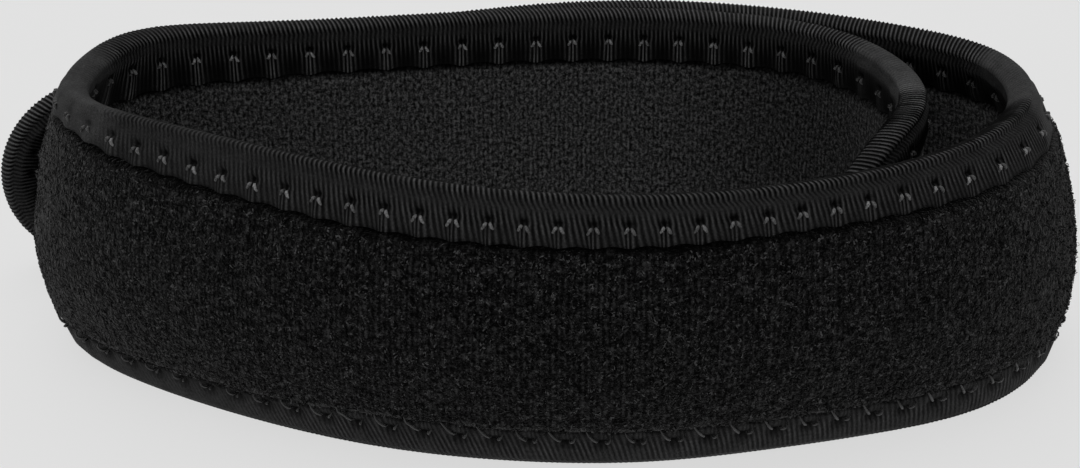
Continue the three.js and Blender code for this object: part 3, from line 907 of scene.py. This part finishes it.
class Paint:
    """A material's nodes, made one after another."""

    def __init__(self, name, grey, roughness, specular=0.3, sheen=0.0):
        self.made = bpy.data.materials.new(name)
        self.made.use_nodes = True
        self.nodes = self.made.node_tree.nodes
        self.links = self.made.node_tree.links
        self.shader = self.nodes["Principled BSDF"]
        for key, value in (
            ("Base Color", (grey, grey, grey, 1)),
            ("Roughness", roughness),
            ("Specular IOR Level", specular),
            ("Sheen Weight", sheen),
            ("Sheen Roughness", 0.4),
        ):
            self.shader.inputs[key].default_value = value
        self.normal = None

    def node(self, kind, links=(), **values):
        """A node with its values set and its inputs linked, given as (input, output) pairs."""
        made = self.nodes.new(kind)
        for key, value in values.items():
            if key in made.inputs:
                made.inputs[key].default_value = value
            else:
                setattr(made, key, value)
        for place, output in links:
            self.links.new(output, made.inputs[place])
        return made

    def place(self):
        return self.node("ShaderNodeTexCoord").outputs["Object"]

    def weave(self):
        return self.node("ShaderNodeUVMap", uv_map="weave").outputs["UV"]

    def noise(self, vector, scale, detail=3.0, rough=0.6):
        values = {"Scale": scale, "Detail": detail, "Roughness": rough}
        return self.node("ShaderNodeTexNoise", [("Vector", vector)], **values).outputs["Fac"]

    def stretched(self, vector, scale):
        made = self.node("ShaderNodeMapping", [("Vector", vector)], Scale=scale)
        return made.outputs["Vector"]

    def math(self, operation, a, b=None, limit=False):
        made = self.nodes.new("ShaderNodeMath")
        made.operation = operation
        made.use_clamp = limit
        for socket, value in zip(made.inputs, (a, b)):
            if value is None:
                continue
            if isinstance(value, (int, float)):
                socket.default_value = value
            else:
                self.links.new(value, socket)
        return made.outputs["Value"]

    def weighted(self, *parts):
        """The sum of values, each given with its weight."""
        total = None
        for value, weight in parts:
            part = self.math("MULTIPLY", value, weight)
            total = part if total is None else self.math("ADD", total, part)
        return total

    def ramp(self, value, stops):
        """A colour ramp through stops of (position, grey)."""
        made = self.node("ShaderNodeValToRGB", [("Fac", value)])
        elements = made.color_ramp.elements
        while len(elements) < len(stops):
            elements.new(0.5)
        for element, (position, grey) in zip(elements, stops):
            element.position = position
            element.color = (grey, grey, grey * 1.01, 1)
        return made.outputs["Color"]

    def bump(self, height, distance, strength=1.0):
        links = [("Height", height)]
        if self.normal is not None:
            links.append(("Normal", self.normal))
        made = self.node("ShaderNodeBump", links, Distance=distance, Strength=strength)
        self.normal = made.outputs["Normal"]

    def wave(self, vector, pitch, distortion, detail):
        """Even lines along the band at a pitch in metres, a little uneven."""
        links = [("Vector", vector)]
        made = self.node("ShaderNodeTexWave", links, wave_type="BANDS", bands_direction="X")
        made.inputs["Scale"].default_value = math.pi / 10 / pitch
        made.inputs["Distortion"].default_value = distortion
        made.inputs["Detail"].default_value = 2
        made.inputs["Detail Scale"].default_value = detail / made.inputs["Scale"].default_value
        return made.outputs["Fac"]

    def blend(self, factor, a, b):
        """a where the factor is 0 and b where it is 1."""
        return self.weighted((self.math("SUBTRACT", 1.0, factor), a), (factor, b))

    def value(self, name):
        """A number that each point of the mesh carries."""
        return self.node("ShaderNodeAttribute", attribute_name=name).outputs["Fac"]

    def shaded(self, color, *factors):
        """A colour made darker or lighter by factors."""
        for factor in factors:
            made = self.node("ShaderNodeVectorMath", [(0, color), ("Scale", factor)], operation="SCALE")
            color = made.outputs["Vector"]
        return color

    def finish(self, color=None, roughness=None):
        if color is not None:
            self.links.new(color, self.shader.inputs["Base Color"])
        if roughness is not None:
            self.links.new(roughness, self.shader.inputs["Roughness"])
        if self.normal is not None:
            self.links.new(self.normal, self.shader.inputs["Normal"])
        return self.made


def loop_paint():
    """Brushed loop fabric: near black, felted in tufts, with faint upright grooves."""
    paint = Paint("brushed_loop_fabric", 0.012, 0.95, 0.01, 0.12)
    place, weave = paint.place(), paint.weave()
    tufts = paint.noise(place, 1050, 2.5, 0.75)
    fine = paint.noise(place, 3600, 2.0, 0.6)
    grooves = paint.wave(weave, 0.78 * MM, 1.4, 700)
    mixed = paint.weighted((tufts, 0.66), (fine, 0.26), (grooves, 0.08))
    color = paint.ramp(mixed, [(0.41, 0.0004), (0.51, 0.0055), (0.63, 0.03)])
    paint.bump(grooves, 0.00006, 0.2)
    paint.bump(tufts, 0.0006, 1.0)
    paint.bump(fine, 0.00015, 0.8)
    return paint.finish(paint.shaded(color, paint.value("shade")))


def pile_paint():
    """The fine fibres of the loop fabric."""
    paint = Paint("loop_fibres", 0.016, 0.8, 0.02, 0.1)
    shade = paint.noise(paint.place(), 1150, 2.0, 0.7)
    color = paint.ramp(shade, [(0.4, 0.0008), (0.53, 0.0105), (0.66, 0.06)])
    return paint.finish(color)


def lining_paint():
    """Fine jersey: close columns of small stitches, with a dry, grainy face."""
    paint = Paint("knit_jersey", 0.025, 0.95, 0.01, 0.05)
    place, weave = paint.place(), paint.weave()
    wales = paint.wave(weave, 0.8 * MM, 3.0, 600)
    grains = paint.noise(paint.stretched(weave, (1550, 1250, 1)), 1.0, 3.0, 0.75)
    fuzz = paint.noise(place, 3200, 2.0, 0.6)
    mixed = paint.weighted((wales, 0.05), (grains, 0.7), (fuzz, 0.25))
    color = paint.ramp(mixed, [(0.4, 0.003), (0.5, 0.023), (0.61, 0.085)])
    paint.bump(wales, 0.00006, 0.2)
    paint.bump(grains, 0.0004, 1.0)
    paint.bump(fuzz, 0.00012, 0.7)
    return paint.finish(paint.shaded(color, paint.value("shade")))


def tape_paint():
    """Ribbed binding tape: rounded cords with painted shade in their valleys, rubbed smooth where it
    bends tightly.
    """
    paint = Paint("ribbed_tape", 0.02, 0.6, 0.03, 0.0)
    place, weave = paint.place(), paint.weave()
    parts = paint.node("ShaderNodeSeparateXYZ", [("Vector", weave)])
    turn = paint.math("MULTIPLY", parts.outputs["X"], 2 * math.pi)
    # crest is 1 on a rib's top and 0 in its valley; the darker valleys are painted shade
    crest = paint.math("ADD", paint.math("MULTIPLY", paint.math("COSINE", turn), 0.5), 0.5)
    threads = paint.noise(paint.stretched(weave, (3.4, 2.6, 1)), 1.0, 3.0, 0.75)
    patches = paint.math("ADD", paint.noise(place, 420, 2.0, 0.6), 0.45)
    crest = paint.blend(paint.value("strength"), 0.6, crest)
    mixed = paint.weighted((crest, 0.64), (threads, 0.36))
    color = paint.ramp(mixed, [(0.34, 0.0003), (0.5, 0.0085), (0.64, 0.03), (0.8, 0.075)])
    paint.bump(threads, 0.0002, 0.8)
    return paint.finish(paint.shaded(color, paint.value("shade"), patches))


def thread_paint():
    """Sewing thread, lighter than the tape."""
    paint = Paint("sewing_thread", 0.18, 0.45, 0.4, 0.1)
    strands = paint.noise(paint.place(), 5200, 2.0, 0.5)
    color = paint.ramp(strands, [(0.3, 0.09), (0.55, 0.2), (0.75, 0.33)])
    paint.bump(strands, 0.00008, 0.8)
    return paint.finish(paint.shaded(color, paint.value("shade")))


def hook_paint():
    """Moulded black hooks on a woven strip."""
    paint = Paint("hook_tape", 0.009, 0.4, 0.5)
    grain = paint.noise(paint.place(), 1800, 3.0, 0.6)
    color = paint.ramp(grain, [(0.3, 0.005), (0.7, 0.014)])
    paint.bump(grain, 0.00008, 0.6)
    return paint.finish(color)


def lining_back(along, up):
    """How far out the back of the lining lies."""
    return LINING_THICKNESS - half_thickness(along, up, True)


def padding_back(along, up):
    """How far out the back of the padding lies, a gap away from the lining."""
    return LINING_THICKNESS + GAP - half_thickness(along, up, True)


def build_pieces():
    """Makes every piece of the strap."""
    padding = layer_object("padding", fabric_out, padding_back)
    finish_piece(padding, loop_paint(), "loop_fabric", "padded_band")
    lining = layer_object("lining", lining_out, lining_back)
    finish_piece(lining, lining_paint(), "knit", "knit_lining")
    marks, total = outline["marks"], outline["total"]
    ribs = round(total / RIB_PITCH)
    tab_rib = round((marks[1] + marks[2]) / 2 / total * ribs)
    inner_rib = round((marks[3] + total) / 2 / total * ribs)
    tape = tape_paint()
    upper = tape_object("binding_upper", tab_rib, inner_rib, ribs)
    lower = tape_object("binding_lower", inner_rib - ribs, tab_rib, ribs)
    for piece, count in ((upper, inner_rib - tab_rib), (lower, ribs - inner_rib + tab_rib)):
        finish_piece(piece, tape, "tape", "edge_binding")
    finish_piece(stitch_object(), thread_paint(), "tape")
    fibres = pile_paint()
    middle = place_along("frontNearRight")
    for name, start, end, count, seed in (
        ("loop_pile_front_left", place_along("leftHigh") - 6, middle, 19000, 21),
        ("loop_pile_front_right", middle, LAP_START, 19000, 22),
        ("loop_pile_back", LAP_START, STRAP_LENGTH - 8, 16000, 23),
    ):
        finish_piece(pile_object(name, start, end, count, seed), fibres, "loop_fabric")
    finish_piece(hook_object(), hook_paint(), "hook", "hook_patch")


# The floor glows a little, so that it stays even and holds only a faint shadow.
FLOOR_GLOW = 0.64
FLOOR_HALF = 4.0  # half its side, in metres


def build_stage():
    """A plain pale floor, with soft light from all round and from above."""
    mesh = bpy.data.meshes.new("floor")
    corners = [(x * FLOOR_HALF, y * FLOOR_HALF, 0) for x, y in ((-1, -1), (1, -1), (1, 1), (-1, 1))]
    mesh.from_pydata(corners, [], [(0, 1, 2, 3)])
    floor = add_object("floor", mesh)
    paint = Paint("pale_floor", 0.12, 0.9, 0.0)
    paint.shader.inputs["Emission Color"].default_value = (1, 1, 1, 1)
    paint.shader.inputs["Emission Strength"].default_value = FLOOR_GLOW
    mesh.materials.append(paint.finish())
    world = bpy.data.worlds.new("studio")
    world.use_nodes = True
    background = world.node_tree.nodes["Background"]
    background.inputs["Color"].default_value = (1, 1, 1, 1)
    background.inputs["Strength"].default_value = 0.5
    bpy.context.scene.world = world
    for name, tilt, turn, strength, spread in (
        ("top_light", 20, 200, 1.3, 60),
        ("front_light", 55, -20, 0.5, 50),
    ):
        light = bpy.data.lights.new(name, "SUN")
        light.energy = strength
        light.angle = math.radians(spread)
        made = add_object(name, light)
        made.rotation_euler = (math.radians(tilt), 0, math.radians(turn))


def build_camera():
    """The camera of the photograph, moved with the model."""
    data = bpy.data.cameras.new("camera")
    data.sensor_width = SENSOR_WIDTH
    data.lens = FOCAL_LENGTH_PX * SENSOR_WIDTH / PHOTO_WIDTH_PX
    data.clip_start = 0.01
    data.clip_end = 50
    camera = add_object("camera", data)
    camera.location = (Vector(CAMERA_PLACE) + Vector(SHIFT)) * MM
    camera.rotation_euler = (math.radians(90 - CAMERA_PITCH_DEG), 0, 0)
    bpy.context.scene.camera = camera


build_camera()
build_pieces()
build_stage()
bpy.context.scene.view_settings.view_transform = "Standard"
bpy.context.scene.view_settings.look = "None"
